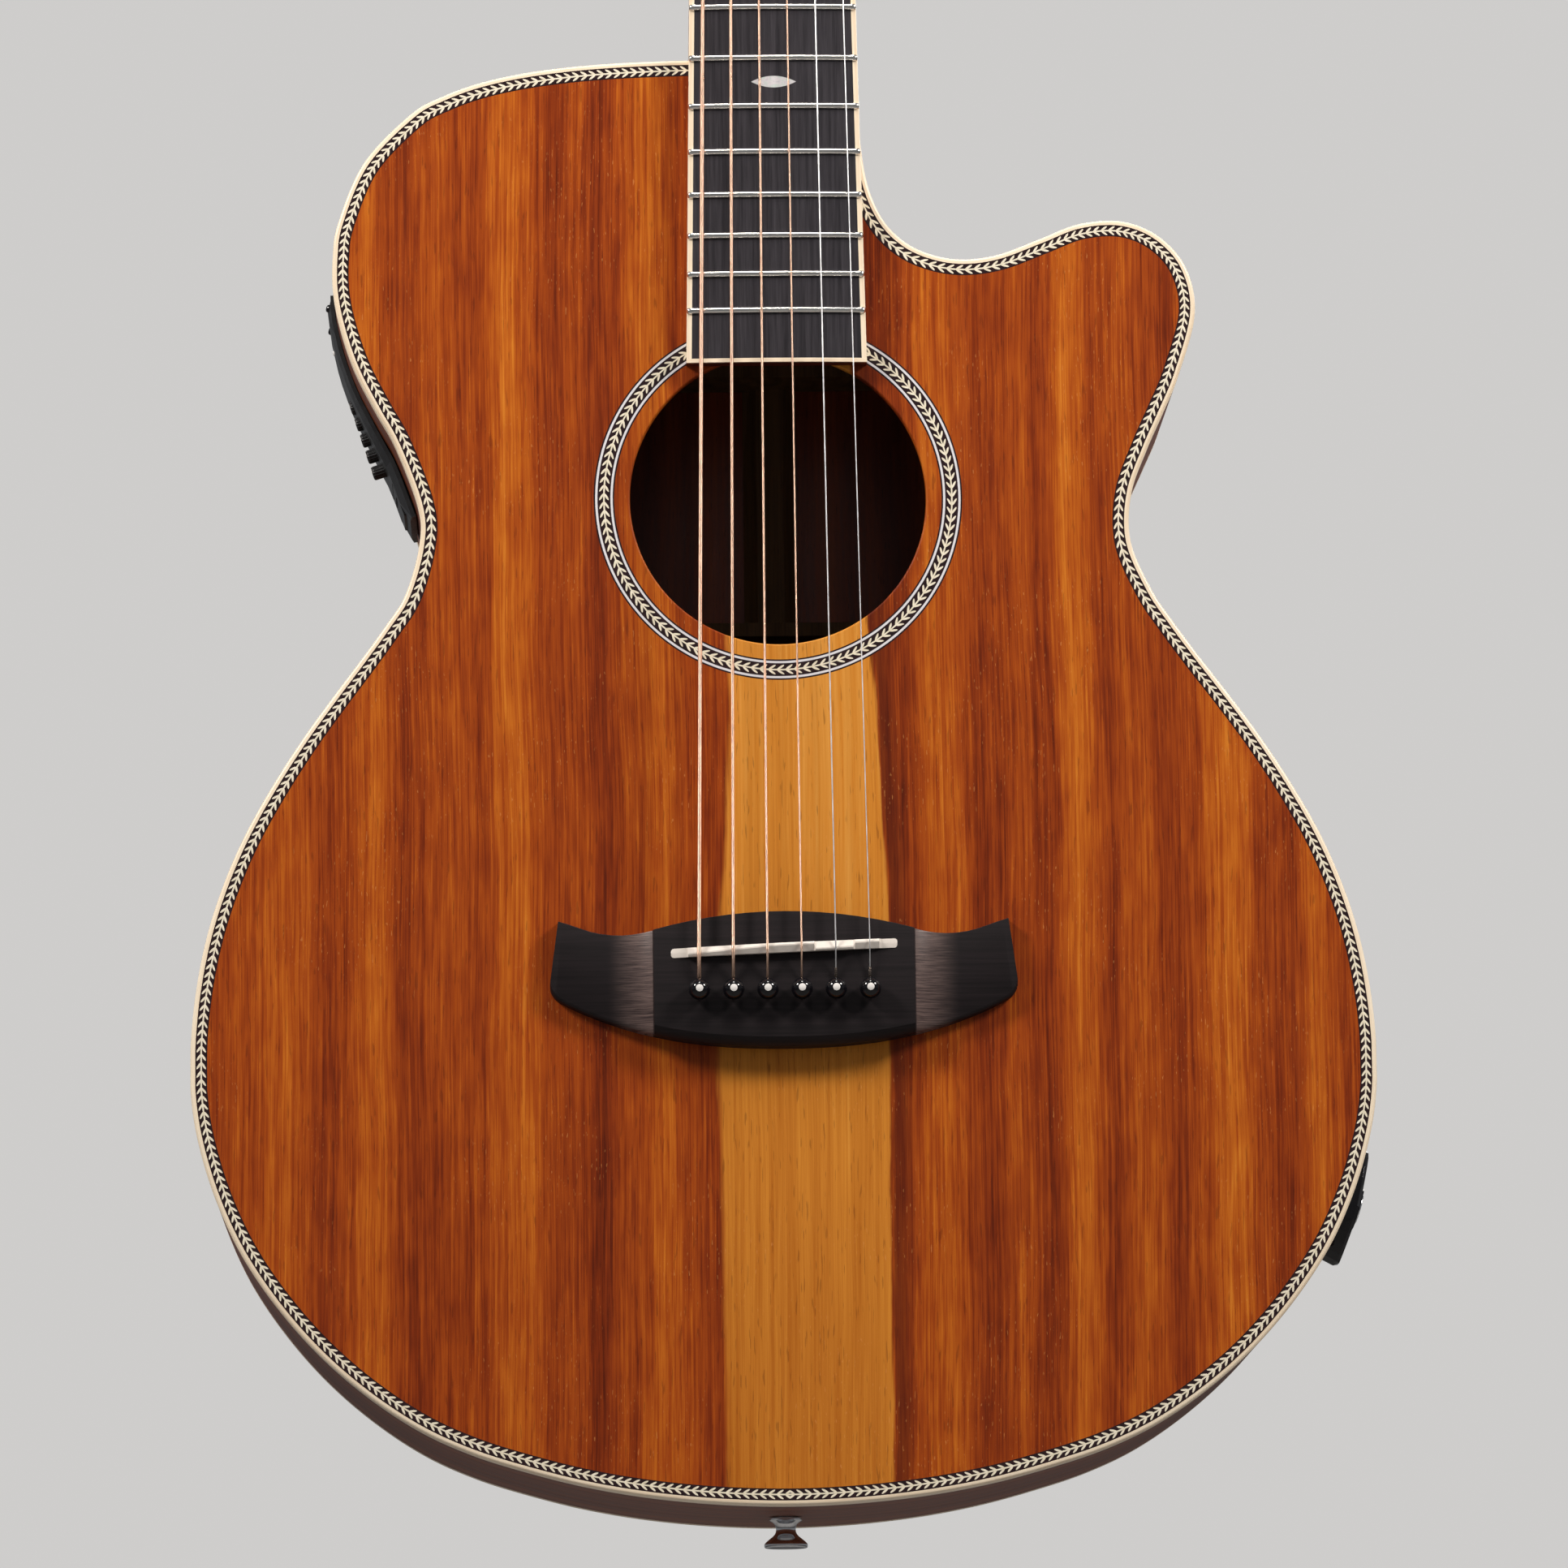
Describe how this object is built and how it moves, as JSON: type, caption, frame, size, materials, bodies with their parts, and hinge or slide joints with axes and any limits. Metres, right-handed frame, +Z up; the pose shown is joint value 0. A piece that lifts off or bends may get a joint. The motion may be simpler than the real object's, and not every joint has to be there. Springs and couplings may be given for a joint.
{
  "type": "acoustic guitar",
  "caption": "Steel-string electro-acoustic guitar with a rounded cutaway, an inlaid leaf border, a scooped bridge, geared tuners and a side preamp; it is plucked or strummed.",
  "frame": {"origin": "between the feet of a stand that holds the body, at the middle of the end pin's outer face", "axes": "+Z up the neck, -Y out of the face with the strings, +X towards the treble side and the cutaway"},
  "size_m": [0.3841, 0.1192, 1.0257],
  "materials": {
    "koa_top": "satin lacquer",
    "koa_back_and_sides": "satin lacquer",
    "maple_binding": "satin lacquer",
    "leaf_inlay": "inlaid strip under lacquer",
    "spruce": "raw",
    "mahogany": "satin lacquer",
    "ebony": "satin",
    "bone": "polished",
    "steel": "plain",
    "pickup_brass": "plain",
    "black_gloss_plastic": "gloss",
    "black_matte_plastic": "satin",
    "bronze_wound_string": "wound wire",
    "plain_steel_string": "drawn wire",
    "chrome": "polished"
  },
  "bodies": {
    "guitar": {"soundboard": "koa_top", "rosette": "leaf_inlay", "top_binding": "maple_binding", "top_purfling": "leaf_inlay", "back_binding": "maple_binding", "side_bass": "koa_back_and_sides", "side_treble": "koa_back_and_sides", "top_lining": "spruce", "back_lining": "spruce", "back_plate": "koa_back_and_sides", "tail_block": "mahogany", "neck_block": "mahogany", "soundboard_bracing": "spruce", "back_bracing": "spruce", "neck": "mahogany", "truss_rod": "steel", "fingerboard": "ebony", "nut": "bone", "bridge": "ebony", "saddle": "bone", "piezo_pickup": "pickup_brass", "bridge_pin_1": "black_gloss_plastic", "bridge_pin_2": "black_gloss_plastic", "bridge_pin_3": "black_gloss_plastic", "bridge_pin_4": "black_gloss_plastic", "bridge_pin_5": "black_gloss_plastic", "bridge_pin_6": "black_gloss_plastic", "string_1": "bronze_wound_string", "string_2": "bronze_wound_string", "string_3": "bronze_wound_string", "string_4": "bronze_wound_string", "string_5": "plain_steel_string", "string_6": "plain_steel_string", "tuner_housing_1": "chrome", "tuner_housing_2": "chrome", "tuner_housing_3": "chrome", "tuner_housing_4": "chrome", "tuner_housing_5": "chrome", "tuner_housing_6": "chrome", "preamp_housing": "black_matte_plastic", "jack_plate": "black_gloss_plastic", "end_pin": "chrome"},
    "tuner_key_1": {"tuner_key_1": "chrome"},
    "tuner_post_1": {"tuner_post_1": "chrome"},
    "tuner_key_2": {"tuner_key_2": "chrome"},
    "tuner_post_2": {"tuner_post_2": "chrome"},
    "tuner_key_3": {"tuner_key_3": "chrome"},
    "tuner_post_3": {"tuner_post_3": "chrome"},
    "tuner_key_4": {"tuner_key_4": "chrome"},
    "tuner_post_4": {"tuner_post_4": "chrome"},
    "tuner_key_5": {"tuner_key_5": "chrome"},
    "tuner_post_5": {"tuner_post_5": "chrome"},
    "tuner_key_6": {"tuner_key_6": "chrome"},
    "tuner_post_6": {"tuner_post_6": "chrome"},
    "preamp_knob_1": {"preamp_knob_1": "black_matte_plastic"},
    "preamp_knob_2": {"preamp_knob_2": "black_matte_plastic"},
    "preamp_knob_3": {"preamp_knob_3": "black_matte_plastic"},
    "preamp_knob_4": {"preamp_knob_4": "black_matte_plastic"},
    "preamp_knob_5": {"preamp_knob_5": "black_matte_plastic"},
    "battery_door": {"battery_door": "black_matte_plastic"}
  },
  "joints": [
    {"name": "tuner_key_1_turn", "type": "hinge", "parent": "guitar", "child": "tuner_key_1", "pos_m": [-0.021, -0.02188, 0.88269], "axis": [-1, 0, 0], "continuous": true},
    {"name": "tuner_post_1_turn", "type": "hinge", "parent": "guitar", "child": "tuner_post_1", "pos_m": [-0.021, -0.04376, 0.88175], "axis": [0, -0.9703, 0.2419], "continuous": true},
    {"name": "tuner_key_2_turn", "type": "hinge", "parent": "guitar", "child": "tuner_key_2", "pos_m": [-0.0205, -0.01221, 0.9215], "axis": [-1, 0, 0], "continuous": true},
    {"name": "tuner_post_2_turn", "type": "hinge", "parent": "guitar", "child": "tuner_post_2", "pos_m": [-0.0205, -0.03408, 0.92056], "axis": [0, -0.9703, 0.2419], "continuous": true},
    {"name": "tuner_key_3_turn", "type": "hinge", "parent": "guitar", "child": "tuner_key_3", "pos_m": [-0.02, -0.00253, 0.96031], "axis": [-1, 0, 0], "continuous": true},
    {"name": "tuner_post_3_turn", "type": "hinge", "parent": "guitar", "child": "tuner_post_3", "pos_m": [-0.02, -0.0244, 0.95937], "axis": [0, -0.9703, 0.2419], "continuous": true},
    {"name": "tuner_key_4_turn", "type": "hinge", "parent": "guitar", "child": "tuner_key_4", "pos_m": [0.02, -0.00253, 0.96031], "axis": [1, 0, 0], "continuous": true},
    {"name": "tuner_post_4_turn", "type": "hinge", "parent": "guitar", "child": "tuner_post_4", "pos_m": [0.02, -0.0244, 0.95937], "axis": [0, -0.9703, 0.2419], "continuous": true},
    {"name": "tuner_key_5_turn", "type": "hinge", "parent": "guitar", "child": "tuner_key_5", "pos_m": [0.0205, -0.01221, 0.9215], "axis": [1, 0, 0], "continuous": true},
    {"name": "tuner_post_5_turn", "type": "hinge", "parent": "guitar", "child": "tuner_post_5", "pos_m": [0.0205, -0.03408, 0.92056], "axis": [0, -0.9703, 0.2419], "continuous": true},
    {"name": "tuner_key_6_turn", "type": "hinge", "parent": "guitar", "child": "tuner_key_6", "pos_m": [0.021, -0.02188, 0.88269], "axis": [1, 0, 0], "continuous": true},
    {"name": "tuner_post_6_turn", "type": "hinge", "parent": "guitar", "child": "tuner_post_6", "pos_m": [0.021, -0.04376, 0.88175], "axis": [0, -0.9703, 0.2419], "continuous": true},
    {"name": "preamp_knob_1_turn", "type": "hinge", "parent": "guitar", "child": "preamp_knob_1", "pos_m": [-0.12741, -0.0015, 0.35907], "axis": [-0.9506, 0, -0.3105], "range_deg": [-135, 135]},
    {"name": "preamp_knob_2_turn", "type": "hinge", "parent": "guitar", "child": "preamp_knob_2", "pos_m": [-0.12921, -0.0015, 0.3646], "axis": [-0.9506, 0, -0.3105], "range_deg": [-135, 135]},
    {"name": "preamp_knob_3_turn", "type": "hinge", "parent": "guitar", "child": "preamp_knob_3", "pos_m": [-0.13102, -0.0015, 0.37012], "axis": [-0.9506, 0, -0.3105], "range_deg": [-135, 135]},
    {"name": "preamp_knob_4_turn", "type": "hinge", "parent": "guitar", "child": "preamp_knob_4", "pos_m": [-0.13282, -0.0015, 0.37565], "axis": [-0.9506, 0, -0.3105], "range_deg": [-135, 135]},
    {"name": "preamp_knob_5_turn", "type": "hinge", "parent": "guitar", "child": "preamp_knob_5", "pos_m": [-0.13463, -0.0015, 0.38117], "axis": [-0.9506, 0, -0.3105], "range_deg": [-135, 135]},
    {"name": "battery_door_swing", "type": "hinge", "parent": "guitar", "child": "battery_door", "pos_m": [-0.1225, -0.0015, 0.34047], "axis": [0, -1, 0], "range_deg": [0, 90]}
  ],
  "couplings": [
    {"joint": "tuner_post_1_turn", "follows": "tuner_key_1_turn", "ratio": 0.0556},
    {"joint": "tuner_post_2_turn", "follows": "tuner_key_2_turn", "ratio": 0.0556},
    {"joint": "tuner_post_3_turn", "follows": "tuner_key_3_turn", "ratio": 0.0556},
    {"joint": "tuner_post_4_turn", "follows": "tuner_key_4_turn", "ratio": -0.0556},
    {"joint": "tuner_post_5_turn", "follows": "tuner_key_5_turn", "ratio": -0.0556},
    {"joint": "tuner_post_6_turn", "follows": "tuner_key_6_turn", "ratio": -0.0556}
  ]
}
